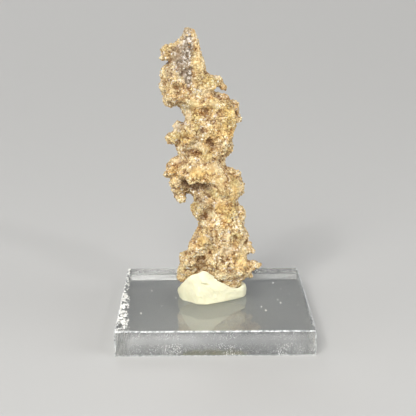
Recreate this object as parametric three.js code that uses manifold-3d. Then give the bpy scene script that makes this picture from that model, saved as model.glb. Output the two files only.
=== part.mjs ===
import * as THREE from 'three';
import { mergeVertices } from 'three/addons/utils/BufferGeometryUtils.js';
import Module from 'manifold-3d';

// A sand fulgurite, stood upright in a lump of mounting putty on a square block of clear acrylic.
// Millimetres, +Z up, the front faces -Y. The origin is the middle of the block's underside.

// ---- Driving dimensions ----------------------------------------------------------------------

const BLOCK_WIDTH = 60;
const BLOCK_THICKNESS = 8;
const BLOCK_ARRIS = 0.3; // the small flat that takes the sharpness off the block's edges

const CONTACT_GAP = 0.35; // between the fulgurite's foot and the putty pressed around it

const LOBE_PITCH = 5.4; // spacing of the coarse swellings in the melted sand
const LOBE_RELIEF = 0.9;
const GLOBULE_PITCH = 3.0; // spacing of the round globules that cover them
const GLOBULE_RELIEF = 0.85;
const CROWN_REACH = 0.82; // how far a globule's round top reaches, in spacings
const MEAN_CROWN = 0.65; // the height of packed globules, on average, as a share of their relief
const SIDE_BLEND = 0.8; // how softly the lobes that make the outline run into the column
const FACE_BLEND = 2.4; // and the same for those on its front and back
const HOLLOW_BLEND = 1.2;

const COLUMN_SIDES = 36;
const COLUMN_STEPS = 65;
const COLUMN_REACH = 22; // no part of the crust lies farther from the column's middle
const MIN_RADIUS = 0.4;
const STIR = 0.3; // how far the mesh's points stray from an even grid, in grid steps
const FOOT_TOP = 18; // above this height the crust is bare of putty
const FOOT_FADE = 6; // the crust grows to its full relief over this height
const FOOT_RELIEF = 0.2; // what the buried foot has of it

// The column's rows from the foot up: height, left and right edge, middle depth and half depth.
const COLUMN_ROWS = [
  [9.2, -6.5, 6.0, 0.3, 4.0],
  [12, -9.6, 8.8, 0.3, 4.8],
  [15.5, -10.2, 9.4, 0.3, 5.0],
  [19, -9.6, 10.4, 0.1, 5.2],
  [23, -8.2, 9.8, 0.0, 5.6],
  [27, -5.2, 9.6, 0.0, 5.8],
  [31, -3.5, 9.2, 0.0, 5.6],
  [35, -4.3, 8.8, -0.3, 5.4],
  [39, -6.4, 7.0, -0.3, 5.6],
  [43, -8.0, 7.4, -0.2, 6.0],
  [47, -10.0, 6.8, 0.0, 6.0],
  [51, -10.0, 3.4, 0.0, 5.8],
  [55, -11.0, 3.9, 0.2, 5.4],
  [59, -11.0, 4.6, 0.2, 5.6],
  [63, -10.0, 5.6, 0.0, 6.0],
  [67, -9.8, 6.2, -0.2, 6.0],
  [70.5, -11.2, 4.6, -0.2, 5.8],
  [74, -13.0, 0.0, 0.0, 5.4],
  [78, -14.2, -1.2, 0.0, 5.2],
  [82, -13.8, -3.4, 0.2, 4.8],
  [86, -13.4, -4.6, 0.3, 4.2],
  [89.5, -10.6, -5.2, 0.3, 3.2],
  [92.5, -9.0, -5.6, 0.2, 2.2],
  [94.2, -8.4, -7.2, 0.1, 1.0],
];

// Lobes that swell from the column, from the top down: middle x, y, z and half size x, y, z.
const LOBES = {
  leftSide: [
    [-10.2, -0.4, 89.4, 1.2, 2.0, 1.4],
    [-11.6, -0.8, 87.4, 1.6, 2.6, 1.9],
    [-14.1, 0.0, 82.2, 1.7, 2.6, 1.4],
    [-13.6, 0.0, 80.0, 2.8, 3.8, 2.9],
    [-10.8, -0.4, 62.4, 2.3, 3.2, 3.2],
    [-10.3, -0.4, 58.0, 2.2, 3.0, 1.7],
    [-11.6, -0.4, 52.7, 2.1, 3.0, 1.6],
    [-11.0, -0.4, 50.4, 2.8, 3.8, 2.6],
    [-9.4, -0.4, 45.6, 2.2, 3.4, 3.0],
    [-5.2, -0.4, 36.5, 1.8, 2.8, 2.1],
    [-4.1, -0.4, 31.2, 1.5, 2.6, 1.2],
    [-5.0, 0.0, 28.8, 1.6, 2.8, 1.5],
    [-6.3, 0.0, 26.2, 1.9, 3.2, 1.9],
    [-8.7, 0.0, 21.6, 2.4, 3.2, 2.2],
    [-9.4, 0.3, 17.9, 2.2, 3.4, 2.6],
    [-10.2, 0.9, 14.6, 2.0, 2.8, 1.8],
  ],
  rightSide: [
    [-5.6, -0.8, 88.2, 1.1, 2.2, 4.4],
    [-4.4, -0.4, 82.4, 1.4, 2.6, 3.4],
    [-1.2, -0.4, 79.0, 1.4, 2.0, 0.9],
    [3.2, -0.4, 72.6, 1.7, 2.4, 1.3],
    [4.4, 0.2, 61.0, 1.8, 2.6, 1.9],
    [4.1, 0.3, 57.2, 1.9, 2.4, 2.0],
    [6.8, 0.2, 48.8, 1.7, 2.4, 1.2],
    [7.2, 0.2, 44.4, 2.5, 3.4, 3.3],
    [7.4, 0.2, 35.6, 2.7, 3.6, 3.3],
    [9.2, 0.0, 29.0, 2.4, 3.0, 2.2],
    [9.0, 0.0, 24.9, 2.2, 3.0, 2.0],
    [10.2, 0.2, 18.1, 2.4, 3.0, 2.4],
    [9.8, 0.6, 15.8, 1.9, 2.6, 2.0],
  ],
  upperFront: [
    [-4.8, -3.4, 83.6, 2.0, 2.4, 3.6],
    [-12.4, -3.8, 80.4, 2.5, 2.8, 2.8],
    [-1.6, -3.6, 77.2, 2.6, 2.6, 2.2],
    [-9.0, -4.2, 76.4, 2.6, 2.6, 2.8],
    [-13.0, -3.0, 74.2, 2.0, 2.6, 2.4],
    [-4.9, -4.4, 72.6, 2.4, 2.8, 3.4],
    [0.9, -4.2, 70.4, 2.6, 2.8, 2.6],
    [4.4, -3.0, 69.6, 2.0, 2.6, 2.2],
  ],
  middleFront: [
    [-0.4, -4.6, 65.8, 2.0, 2.8, 3.4],
    [-5.2, -4.6, 65.0, 2.4, 2.8, 3.6],
    [4.0, -4.2, 65.0, 2.6, 2.8, 4.0],
    [-8.2, -3.8, 62.2, 2.0, 2.8, 3.2],
    [-4.2, -4.8, 59.6, 1.8, 2.6, 3.2],
    [2.2, -4.6, 59.6, 2.2, 2.8, 3.4],
    [-8.6, -3.8, 58.0, 2.2, 2.6, 2.4],
    [-2.2, -4.6, 54.8, 2.5, 2.6, 2.6],
    [-7.0, -4.4, 53.8, 2.3, 2.8, 2.6],
    [-9.0, -4.8, 50.6, 2.3, 2.6, 2.2],
    [-4.4, -5.8, 50.2, 2.8, 2.8, 2.0],
    [0.2, -5.0, 49.2, 2.8, 2.8, 2.4],
    [4.6, -3.8, 45.6, 2.8, 2.6, 3.4],
    [1.6, -4.6, 45.0, 1.8, 2.6, 2.8],
  ],
  lowerFront: [
    [0.6, -4.4, 40.2, 2.4, 2.6, 3.4],
    [-4.8, -4.4, 38.6, 2.4, 2.8, 2.8],
    [4.8, -3.8, 37.4, 2.2, 2.6, 3.4],
    [1.8, -4.4, 34.0, 2.2, 2.6, 3.4],
    [-2.2, -4.4, 33.4, 1.8, 2.6, 2.6],
    [6.4, -3.2, 31.4, 2.2, 2.8, 3.2],
    [-2.8, -4.4, 28.8, 1.8, 2.6, 3.0],
    [1.6, -4.6, 27.6, 2.2, 2.8, 3.4],
    [-6.2, -3.8, 25.0, 2.2, 2.8, 3.2],
    [5.8, -4.2, 25.0, 2.4, 2.8, 3.6],
    [-0.8, -4.6, 21.8, 1.8, 2.6, 2.8],
    [-8.4, -3.0, 19.8, 2.2, 2.6, 2.6],
    [7.8, -3.4, 19.6, 2.4, 2.6, 3.0],
    [2.8, -4.6, 19.4, 2.0, 2.4, 3.0],
  ],
  back: [
    [-11.0, 3.4, 84.0, 3.0, 2.6, 3.6],
    [-6.4, 4.0, 79.0, 3.0, 2.4, 3.4],
    [-11.6, 4.2, 76.0, 3.2, 2.6, 3.0],
    [-1.8, 4.0, 72.8, 2.6, 2.6, 3.0],
    [-5.4, 5.0, 69.0, 3.4, 2.8, 3.4],
    [2.8, 4.6, 66.4, 3.4, 2.8, 3.0],
    [-6.6, 4.8, 60.6, 3.2, 2.8, 3.4],
    [0.6, 4.8, 59.0, 3.2, 2.4, 3.2],
    [-4.0, 5.2, 52.6, 4.0, 2.8, 2.8],
    [2.6, 5.2, 47.6, 3.6, 2.8, 3.6],
    [-3.6, 5.4, 43.6, 3.0, 2.6, 3.6],
    [4.4, 4.6, 38.4, 3.2, 2.8, 3.6],
    [-1.6, 4.8, 33.6, 3.2, 2.6, 3.2],
    [5.2, 4.8, 27.0, 3.6, 2.8, 3.4],
    [-3.4, 5.0, 24.6, 3.8, 2.8, 3.6],
    [4.2, 4.6, 19.6, 3.8, 2.4, 2.6],
    [-5.4, 4.4, 18.6, 3.4, 2.2, 2.6],
  ],
};

// Arms and knobs that stand off or hang free of the column, given in the same way.
const ARMS = {
  tips: [
    [-8.0, -0.4, 93.4, 0.9, 0.9, 1.0],
    [-6.7, 0.0, 93.2, 1.2, 1.0, 1.1],
  ],
  points: [
    [-14.6, -0.4, 49.0, 1.4, 1.4, 1.2],
    [7.2, -0.2, 70.9, 1.2, 1.3, 0.9],
    [7.9, -0.2, 66.4, 1.2, 1.3, 0.9],
  ],
  shoulder: [
    [-13.4, 0.3, 87.4, 2.6, 2.8, 2.1],
    [-14.0, 0.6, 75.8, 2.8, 3.4, 2.4],
    [-15.0, -0.8, 85.1, 1.6, 1.6, 1.2],
    [-13.4, 0.2, 72.3, 2.2, 2.8, 2.5],
  ],
  upperArm: [
    [0.2, -0.6, 78.1, 3.0, 2.6, 1.6],
    [3.0, -0.4, 76.3, 1.2, 1.5, 1.3],
  ],
  leftKnobs: [
    [-10.3, -0.7, 64.2, 2.6, 2.8, 2.2],
    [-11.8, -0.6, 60.7, 3.2, 3.4, 2.3],
    [-12.2, -0.5, 50.8, 3.0, 3.8, 2.5],
  ],
  rightKnobs: [
    [5.4, 0.0, 69.8, 2.6, 2.8, 2.2],
    [5.8, 0.2, 66.4, 3.0, 2.8, 2.0],
    [10.8, 0.0, 25.9, 1.3, 1.5, 0.9],
    [10.6, 0.0, 23.9, 2.4, 2.2, 1.4],
    [12.1, 0.0, 23.3, 1.3, 1.3, 0.9],
    [12.2, 0.0, 18.8, 2.4, 2.0, 1.6],
    [14.0, 0.0, 18.8, 1.5, 1.3, 1.0],
    [11.4, 0.3, 15.2, 1.2, 1.6, 1.0],
  ],
  browDrips: [
    [-7.0, -6.6, 48.4, 1.5, 1.5, 1.4],
    [-3.8, -7.0, 48.6, 1.0, 1.1, 1.1],
  ],
  hangingArm: [
    [-11.2, -0.6, 46.6, 2.6, 3.0, 3.4],
    [-11.0, -0.6, 44.0, 2.3, 2.7, 2.3],
    [-10.5, -0.5, 41.9, 2.2, 2.4, 2.4],
  ],
};

// Hollows sunk into the surface, given in the same way.
const HOLLOWS = {
  tubeWall: [
    [-7.9, -4.2, 89.2, 1.5, 3.0, 3.6],
    [-9.0, -5.6, 85.4, 2.2, 3.0, 2.4],
    [-7.6, -6.2, 80.6, 1.2, 3.2, 4.8],
  ],
  pits: [
    [-2.0, -8.0, 69.6, 1.2, 3.0, 1.4],
    [-1.0, -8.8, 60.2, 1.6, 3.4, 3.2],
    [-6.0, -7.8, 57.2, 1.8, 2.6, 1.6],
    [-2.2, -7.0, 37.2, 1.8, 2.8, 1.5],
    [-3.8, -7.6, 22.4, 1.6, 4.2, 3.8],
    [2.2, 7.4, 54.0, 2.0, 2.6, 2.0],
    [-1.6, 7.0, 28.8, 1.8, 2.8, 2.4],
    [-8.6, 6.6, 80.0, 1.6, 2.8, 2.6],
  ],
  overhang: [
    [-5.8, -8.4, 46.0, 2.8, 4.6, 1.8],
    [-2.2, -8.6, 45.4, 2.2, 4.6, 2.2],
    [-8.8, -5.6, 46.4, 1.1, 4.0, 2.1],
    [-7.2, 0.0, 41.4, 1.2, 8.0, 0.8],
  ],
};

// The putty's edge on the block and its rim around the foot, both run around from the left.
const PUTTY_EDGE = [
  [-11.5, 2.0], [-10.2, -3.0], [-8.0, -4.8], [-5.4, -7.2], [-2.2, -7.5], [2.6, -5.2],
  [6.4, -2.8], [9.5, -0.6], [10.6, 3.4], [7.0, 7.0], [-1.0, 8.0], [-8.2, 6.6],
];
const PUTTY_RIM = [
  [-11.8, 0.8, 10.9], [-10.2, -3.8, 14.6], [-7.9, -5.7, 17.2], [-5.4, -6.0, 18.2], [-3.4, -6.3, 19.0],
  [0.6, -6.1, 16.5], [4.4, -4.9, 13.4], [8.3, -2.4, 12.0], [10.6, 1.0, 12.1], [8.4, 5.0, 12.4],
  [1.0, 6.6, 13.6], [-8.0, 5.4, 13.4],
];
const PUTTY_BULGE = 0.5; // how far the putty's side swells between its edge and its rim
const PUTTY_SIDES = 36;
const PUTTY_STEPS = 4;
const PUTTY_DIMPLE = 0.6; // depth of the finger marks
const PUTTY_DIMPLE_PITCH = 6.4;
const PUTTY_TENSION = 0.3; // below 0.5, its edge and rim turn in corners rather than in even curves

// ---- Helpers ---------------------------------------------------------------------------------

const wasm = await Module();
wasm.setup();

function toSolid(geometry) {
  const bare = geometry.clone();
  bare.deleteAttribute('normal');
  bare.deleteAttribute('uv');
  const merged = mergeVertices(bare, 1e-4);
  return new wasm.Manifold(new wasm.Mesh({
    numProp: 3,
    vertProperties: Float32Array.from(merged.attributes.position.array),
    triVerts: Uint32Array.from(merged.index.array),
  }));
}

function toGeometry(solid) {
  const mesh = solid.getMesh();
  const geometry = new THREE.BufferGeometry();
  geometry.setAttribute('position', new THREE.BufferAttribute(mesh.vertProperties, 3));
  geometry.setIndex(new THREE.BufferAttribute(mesh.triVerts, 1));
  geometry.computeVertexNormals();
  return geometry;
}

function join(solids) {
  return solids.reduce((whole, solid) => whole.add(solid));
}

// A repeatable random number from 0 to 1 for one cell of a grid.
function cellRandom(i, j, k, channel) {
  const wave = Math.sin(i * 127.1 + j * 311.7 + k * 74.7 + channel * 53.9) * 43758.5453;
  return wave - Math.floor(wave);
}

// Height of round globules packed in space: 1 on a crown, 0 in the creases between them.
function globules(point, pitch) {
  const cell = point.clone().divideScalar(pitch);
  const [i, j, k] = [cell.x, cell.y, cell.z].map(Math.floor);
  let nearest = Infinity;
  for (let di = -1; di <= 1; di += 1) {
    for (let dj = -1; dj <= 1; dj += 1) {
      for (let dk = -1; dk <= 1; dk += 1) {
        const crown = [0, 1, 2].map((channel) => cellRandom(i + di, j + dj, k + dk, channel));
        const away = Math.hypot(
          i + di + crown[0] - cell.x,
          j + dj + crown[1] - cell.y,
          k + dk + crown[2] - cell.z,
        );
        nearest = Math.min(nearest, away);
      }
    }
  }
  return Math.sqrt(Math.max(0, 1 - (nearest / CROWN_REACH) ** 2));
}

// How far the crust swells out; the buried foot is smoother.
function crustRelief(point) {
  const coarse = LOBE_RELIEF * (globules(point, LOBE_PITCH) - MEAN_CROWN);
  const fine = GLOBULE_RELIEF * (globules(point, GLOBULE_PITCH) - MEAN_CROWN);
  const bare = THREE.MathUtils.smoothstep(point.z, FOOT_TOP - FOOT_FADE, FOOT_TOP);
  return (coarse + fine) * THREE.MathUtils.lerp(FOOT_RELIEF, 1, bare);
}

function moveVertices(geometry, move) {
  const position = geometry.attributes.position;
  const point = new THREE.Vector3();
  for (let index = 0; index < position.count; index += 1) {
    point.fromBufferAttribute(position, index);
    move(point);
    position.setXYZ(index, point.x, point.y, point.z);
  }
  return geometry;
}

// ---- The fulgurite ---------------------------------------------------------------------------

const columnMiddles = new THREE.CatmullRomCurve3(
  COLUMN_ROWS.map(([z, left, right, y]) => new THREE.Vector3((left + right) / 2, y, z)));
const columnSizes = new THREE.CatmullRomCurve3(
  COLUMN_ROWS.map(([, left, right, , deep]) => new THREE.Vector3((right - left) / 2, deep, 0)));
const sideLobes = [...LOBES.leftSide, ...LOBES.rightSide];
const faceLobes = [...LOBES.upperFront, ...LOBES.middleFront, ...LOBES.lowerFront, ...LOBES.back];
const hollows = Object.values(HOLLOWS).flat();

// Signed distance from a point to an ellipsoid, negative inside.
function lumpDistance(point, [x, y, z, halfX, halfY, halfZ]) {
  const across = [(point.x - x) / halfX, (point.y - y) / halfY, (point.z - z) / halfZ];
  const reach = Math.hypot(...across);
  const slope = Math.hypot(across[0] / halfX, across[1] / halfY, across[2] / halfZ);
  return (reach * (reach - 1)) / slope;
}

// The smaller of two distances, rounded off where they are nearly equal.
function blend(first, second, softness) {
  const nearness = Math.max(softness - Math.abs(first - second), 0) / softness;
  return Math.min(first, second) - (nearness * nearness * softness) / 4;
}

// The column's cross-section at a share of its height, as a lump of endless height.
function columnRow(along) {
  const middle = columnMiddles.getPoint(along);
  const size = columnSizes.getPoint(along);
  return [...middle.toArray(), size.x, size.y, Infinity];
}

// Signed distance to the column with its lobes, less the hollows, plus the crust.
function formDistance(point, row) {
  let distance = lumpDistance(point, row);
  for (const lobe of faceLobes) {
    distance = blend(distance, lumpDistance(point, lobe), FACE_BLEND);
  }
  for (const lobe of sideLobes) {
    distance = blend(distance, lumpDistance(point, lobe), SIDE_BLEND);
  }
  for (const hollow of hollows) {
    distance = -blend(-distance, lumpDistance(point, hollow), HOLLOW_BLEND);
  }
  const crusted = distance < LOBE_RELIEF + GLOBULE_RELIEF;
  return crusted ? distance - crustRelief(point) : distance;
}

// From far out, how close to the column's middle the form begins.
function outerRadius(row, direction, grow) {
  const middle = new THREE.Vector3(...row.slice(0, 3));
  const point = new THREE.Vector3();
  const gapAt = (radius) => {
    point.copy(middle).addScaledVector(direction, radius);
    return formDistance(point, row) - grow;
  };
  const shortestStep = 0.2;
  let outside = COLUMN_REACH;
  let inside = COLUMN_REACH;
  for (let gap = gapAt(inside); gap > 0 && inside > MIN_RADIUS; gap = gapAt(inside)) {
    outside = inside;
    inside -= Math.max(shortestStep, gap / 2);
  }
  for (let halving = 0; halving < 6; halving += 1) {
    const between = (outside + inside) / 2;
    if (gapAt(between) > 0) outside = between;
    else inside = between;
  }
  return Math.max(inside, MIN_RADIUS);
}

// The column: a cylinder whose side is moved out to the form, row by row.
function columnSolid(grow = 0) {
  const cylinder = new THREE.CylinderGeometry(1, 1, 1, COLUMN_SIDES, COLUMN_STEPS);
  cylinder.rotateX(Math.PI / 2);
  moveVertices(cylinder, (point) => {
    const [i, j, k] = point.toArray().map((value) => Math.round(value * 500));
    const onCap = Math.abs(k) === 250;
    const onAxis = i === 0 && j === 0;
    const stray = (channel) => STIR * (cellRandom(i, j, k, channel) - 0.5);
    const along = point.z + 0.5 + (onCap ? 0 : stray(0) / COLUMN_STEPS);
    const turn = Math.atan2(point.y, point.x) + (stray(1) * 2 * Math.PI) / COLUMN_SIDES;
    const row = columnRow(along);
    const direction = new THREE.Vector3(Math.cos(turn), Math.sin(turn), 0);
    point.set(...row.slice(0, 3));
    point.addScaledVector(direction, onAxis ? 0 : outerRadius(row, direction, grow));
    point.z += onCap ? Math.sign(k) * grow : 0;
  });
  return toSolid(cylinder);
}

// One rounded lump of crust, whose relief is in step with its size.
function lumpSolid([x, y, z, halfX, halfY, halfZ]) {
  const isSmall = Math.max(halfX, halfY, halfZ) < 1.7;
  const ball = new THREE.IcosahedronGeometry(1, isSmall ? 1 : 2);
  const middle = new THREE.Vector3(x, y, z);
  const size = new THREE.Vector3(halfX, halfY, halfZ);
  const relief = Math.min(1.2, 0.5 * Math.min(halfX, halfY, halfZ));
  moveVertices(ball, (point) => {
    const out = point.clone().divide(size).normalize();
    point.multiply(size).add(middle);
    point.addScaledVector(out, relief * crustRelief(point));
  });
  return toSolid(ball);
}

function fulguriteSolid() {
  const arms = Object.values(ARMS).flat().map(lumpSolid);
  return join([columnSolid(), ...arms]);
}

// ---- The putty -------------------------------------------------------------------------------

// A lump lofted from its edge on the block to its rim, with the fulgurite's foot pressed into it.
function puttySolid() {
  const [edge, rim] = [
    PUTTY_EDGE.map(([x, y]) => new THREE.Vector3(x, y, BLOCK_THICKNESS)),
    PUTTY_RIM.map((point) => new THREE.Vector3(...point)),
  ].map((points) => new THREE.CatmullRomCurve3(points, true, 'catmullrom', PUTTY_TENSION));
  const lump = new THREE.CylinderGeometry(1, 1, 1, PUTTY_SIDES, PUTTY_STEPS);
  lump.rotateX(Math.PI / 2);
  moveVertices(lump, (point) => {
    const turn = Math.atan2(point.y, point.x) / (2 * Math.PI);
    const around = (turn + 1.5) % 1; // both curves start on the left
    const spread = Math.hypot(point.x, point.y);
    const up = point.z + 0.5;
    const side = edge.getPoint(around).lerp(rim.getPoint(around), up);
    const out = new THREE.Vector3(side.x, side.y, 0).normalize();
    const bulge = PUTTY_BULGE * Math.sin(Math.PI * up);
    const dimple = PUTTY_DIMPLE * globules(side, PUTTY_DIMPLE_PITCH) * Math.sqrt(up);
    side.addScaledVector(out, bulge - dimple);
    point.set(side.x * spread, side.y * spread, side.z);
  });
  return toSolid(lump).subtract(columnSolid(CONTACT_GAP));
}

// ---- The block -------------------------------------------------------------------------------

function blockGeometry() {
  const half = BLOCK_WIDTH / 2 - BLOCK_ARRIS;
  const outline = new THREE.Shape([
    new THREE.Vector2(-half, -half),
    new THREE.Vector2(half, -half),
    new THREE.Vector2(half, half),
    new THREE.Vector2(-half, half),
  ]);
  const block = new THREE.ExtrudeGeometry(outline, {
    depth: BLOCK_THICKNESS - 2 * BLOCK_ARRIS,
    bevelThickness: BLOCK_ARRIS,
    bevelSize: BLOCK_ARRIS,
    bevelSegments: 1,
  });
  return block.translate(0, 0, BLOCK_ARRIS);
}

// ---- Assembly --------------------------------------------------------------------------------

const fulguriteMaterial = new THREE.MeshStandardMaterial({ color: 0xc2a577, roughness: 0.6 });
const puttyMaterial = new THREE.MeshStandardMaterial({ color: 0xf1ecd6, roughness: 0.7 });
const acrylicMaterial = new THREE.MeshStandardMaterial({
  color: 0xe8eef0, roughness: 0.05, transparent: true, opacity: 0.35,
});

function namedMesh(name, geometry, material) {
  const mesh = new THREE.Mesh(geometry, material);
  mesh.name = name;
  return mesh;
}

const group = new THREE.Group();
group.add(
  namedMesh('acrylic_block', blockGeometry(), acrylicMaterial),
  namedMesh('mounting_putty', toGeometry(puttySolid()), puttyMaterial),
  namedMesh('fulgurite', toGeometry(fulguriteSolid()), fulguriteMaterial),
);

export default group;
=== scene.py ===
# %% [markdown]
# # A sand fulgurite on its stand
#
# Where lightning strikes dry sand, it melts a crooked tube of glass and sand: a fulgurite. This one
# is a knobbly crust of fused grains, 85 mm tall, with a strip of the grey inner glass bare near its
# top. It stands in a lump of white mounting putty on a sawn block of clear acrylic.
#
# The three solids come from a CAD package, in metres, with +Z up and the front facing -Y. They fix
# every size and place. This lesson dresses them: the crust gets its globules and sand grains, the
# putty its finger marks, and the acrylic its saw ripples.

# %% Load the solids
import math

import bpy
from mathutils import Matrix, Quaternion, Vector


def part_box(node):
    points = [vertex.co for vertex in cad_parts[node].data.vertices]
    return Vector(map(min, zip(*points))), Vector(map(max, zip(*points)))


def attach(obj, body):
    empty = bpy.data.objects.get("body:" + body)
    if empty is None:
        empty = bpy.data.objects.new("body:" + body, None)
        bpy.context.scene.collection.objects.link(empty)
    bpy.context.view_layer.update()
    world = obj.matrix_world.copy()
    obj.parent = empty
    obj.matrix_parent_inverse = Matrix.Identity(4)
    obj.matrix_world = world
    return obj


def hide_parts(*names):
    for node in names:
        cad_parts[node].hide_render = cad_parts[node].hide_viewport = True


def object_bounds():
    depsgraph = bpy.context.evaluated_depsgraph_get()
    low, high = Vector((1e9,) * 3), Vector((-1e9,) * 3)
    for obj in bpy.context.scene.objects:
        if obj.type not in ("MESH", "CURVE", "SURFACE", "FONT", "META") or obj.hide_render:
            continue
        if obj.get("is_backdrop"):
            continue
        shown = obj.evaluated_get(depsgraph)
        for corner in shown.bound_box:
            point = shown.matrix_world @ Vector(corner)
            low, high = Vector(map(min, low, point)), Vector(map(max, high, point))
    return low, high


MM = 0.001  # the solids are in metres, and all sizes here are given in millimetres

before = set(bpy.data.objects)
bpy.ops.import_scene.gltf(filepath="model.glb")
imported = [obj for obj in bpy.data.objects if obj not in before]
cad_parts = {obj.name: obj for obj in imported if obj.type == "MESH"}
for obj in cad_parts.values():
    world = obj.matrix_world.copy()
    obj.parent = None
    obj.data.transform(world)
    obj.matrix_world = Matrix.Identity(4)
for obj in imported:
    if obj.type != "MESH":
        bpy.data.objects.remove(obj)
solids_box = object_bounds()
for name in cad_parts:
    low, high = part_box(name)
    print(name, "from", [round(c / MM, 1) for c in low], "to", [round(c / MM, 1) for c in high])

# %% [markdown]
# ## The camera
#
# The camera has a long lens and stands a little above the specimen, so that the top of the block
# shows as a wide band. A camera in Blender looks along its own -Z axis: the way it looks is worked
# out from two angles, and the last small turn about that axis sets it level.

# %% Set up the camera
CAMERA_PLACE = Vector((-4.3, -305.4, 117.1)) * MM
CAMERA_TURN = math.radians(0.46)  # to the right of straight on
CAMERA_DIP = math.radians(14.56)  # below the horizon
CAMERA_TILT = math.radians(-0.17)
CAMERA_LENS, SENSOR_WIDTH = 86.16, 36  # millimetres

ahead = Vector((
    math.sin(CAMERA_TURN) * math.cos(CAMERA_DIP),
    math.cos(CAMERA_TURN) * math.cos(CAMERA_DIP),
    -math.sin(CAMERA_DIP),
))
bpy.ops.object.camera_add(location=CAMERA_PLACE)
camera = bpy.context.object
camera.name = "camera"
camera.rotation_mode = "QUATERNION"
camera.rotation_quaternion = (
    ahead.to_track_quat("-Z", "Y") @ Quaternion((0, 0, 1), CAMERA_TILT))
camera.data.sensor_width = SENSOR_WIDTH
camera.data.lens = CAMERA_LENS
camera.data.clip_start, camera.data.clip_end = 0.01, 20  # metres
bpy.context.scene.camera = camera
print("The camera looks along", [round(c, 3) for c in ahead])

# %% [markdown]
# ## Nodes made in code
#
# Materials and Geometry Nodes are both trees of nodes. One helper adds a node and fills its
# sockets: a value that is itself a socket is linked, and a plain number or colour is set. A second
# helper does arithmetic, because most of the trees below need some.

# %% Helpers for node trees
def add_node(tree, kind, values=None, **settings):
    node = tree.nodes.new(kind)
    for name, value in settings.items():
        setattr(node, name, value)
    for key, value in (values or {}).items():
        if isinstance(value, bpy.types.NodeSocket):
            tree.links.new(value, node.inputs[key])
        else:
            node.inputs[key].default_value = value
    return node


def math_node(tree, operation, *values, clamp=False):
    node = add_node(
        tree, "ShaderNodeMath", dict(enumerate(values)), operation=operation, use_clamp=clamp)
    return node.outputs[0]


def vector_node(tree, operation, *values):
    node = add_node(tree, "ShaderNodeVectorMath", dict(enumerate(values)), operation=operation)
    lone_number = operation in ("LENGTH", "DOT_PRODUCT", "DISTANCE")
    return node.outputs["Value" if lone_number else "Vector"]


def scaled(tree, vector, factor):
    node = add_node(tree, "ShaderNodeVectorMath", {0: vector, "Scale": factor}, operation="SCALE")
    return node.outputs["Vector"]


def remap(tree, value, low, high, new_low=0.0, new_high=1.0):
    node = add_node(
        tree, "ShaderNodeMapRange", {0: value, 1: low, 2: high, 3: new_low, 4: new_high},
        interpolation_type="SMOOTHSTEP")
    return node.outputs[0]


# %% [markdown]
# ## Soft patches
#
# Many things here happen in one place only: bare glass near the top, an ochre brow, a brown pit that
# is partly painted shadow.
# Each such place is an egg-shaped patch, with its middle and half sizes in millimetres. Its mask is
# 1 in the middle and fades to 0 at the rim. The same few nodes work in a material and in Geometry
# Nodes, so one function serves both.

# %% A mask for egg-shaped patches
def patch_mask(tree, point_mm, patch):
    x, y, z, half_x, half_y, half_z = patch
    away = vector_node(tree, "SUBTRACT", point_mm, (x, y, z))
    away = vector_node(tree, "DIVIDE", away, (half_x, half_y, half_z))
    return remap(tree, vector_node(tree, "LENGTH", away), 1.0, 0.35)


def patches_mask(tree, point_mm, patches):
    mask = patch_mask(tree, point_mm, patches[0])
    for patch in patches[1:]:
        mask = math_node(tree, "MAXIMUM", mask, patch_mask(tree, point_mm, patch))
    return mask


BARE_GLASS = [
    (-7.8, -2.4, 90.2, 2.4, 4.0, 6.2),
    (-8.0, -3.0, 85.4, 2.0, 3.6, 4.6),
    (-7.8, -4.0, 80.0, 1.8, 3.6, 4.6),
]
MELTED_SMOOTH = [
    (-5.0, -5.0, 83.6, 2.4, 4.0, 4.6),
    (-6.3, -7.0, 72.0, 2.4, 3.6, 2.1),
    (-0.3, -6.3, 72.8, 2.6, 3.6, 2.1),
    (-5.0, -7.9, 51.2, 3.6, 3.6, 2.3),
    (-0.4, -6.8, 52.2, 3.4, 3.6, 2.0),
    (1.9, -7.3, 47.6, 2.2, 3.6, 3.0),
    (2.2, -6.6, 40.1, 2.0, 3.6, 2.8),
    (-3.5, -6.8, 29.2, 1.9, 3.6, 1.9),
]

# %% [markdown]
# ## Working on one piece at a time
#
# Blender's operators act on whatever is selected, so each step first selects its own piece alone.
# A dressed piece starts as a copy of its solid. The solid's triangles are loose, so the copy's
# doubled corners are merged before anything else is done to it.

# %% Helpers for pieces
DOUBLED = 0.001 * MM  # corners closer than this are one corner


def select_only(piece):
    bpy.ops.object.select_all(action="DESELECT")
    piece.select_set(True)
    bpy.context.view_layer.objects.active = piece


def count_triangles(piece):
    piece.data.calc_loop_triangles()
    return len(piece.data.loop_triangles)


def copy_mesh(source, name):
    piece = bpy.data.objects.new(name, source.data.copy())
    piece.data.name = name
    bpy.context.scene.collection.objects.link(piece)
    select_only(piece)
    return piece


def copy_solid(node, name):
    piece = copy_mesh(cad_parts[node], name)
    bpy.ops.object.mode_set(mode="EDIT")
    bpy.ops.mesh.select_all(action="SELECT")
    bpy.ops.mesh.remove_doubles(threshold=DOUBLED)
    bpy.ops.object.mode_set(mode="OBJECT")
    return piece


def apply_modifier(piece, kind, **settings):
    select_only(piece)
    modifier = piece.modifiers.new(kind.lower(), kind)
    for name, value in settings.items():
        setattr(modifier, name, value)
    bpy.ops.object.modifier_apply(modifier=modifier.name)


# %% [markdown]
# ## The stage
#
# A specimen is shown on a plain pale ground in soft light. The floor lies a hair below the block,
# because a real block touches its table only here and there, and the thin film of air is what makes
# its underside shine. One broad lamp stands high at the front left, weaker ones fill from both
# sides and from behind, and two small ones give the glassy grains their glints. The sky of the
# world is brightest at the horizon, as the pale wall of a studio is, and dim above it, because a
# sheet of clear acrylic seen at a slant shows little else than what it mirrors.

# %% Lay the floor
FLOOR_DROP = 0.05 * MM
FLOOR_WIDTH = 12  # metres

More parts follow.
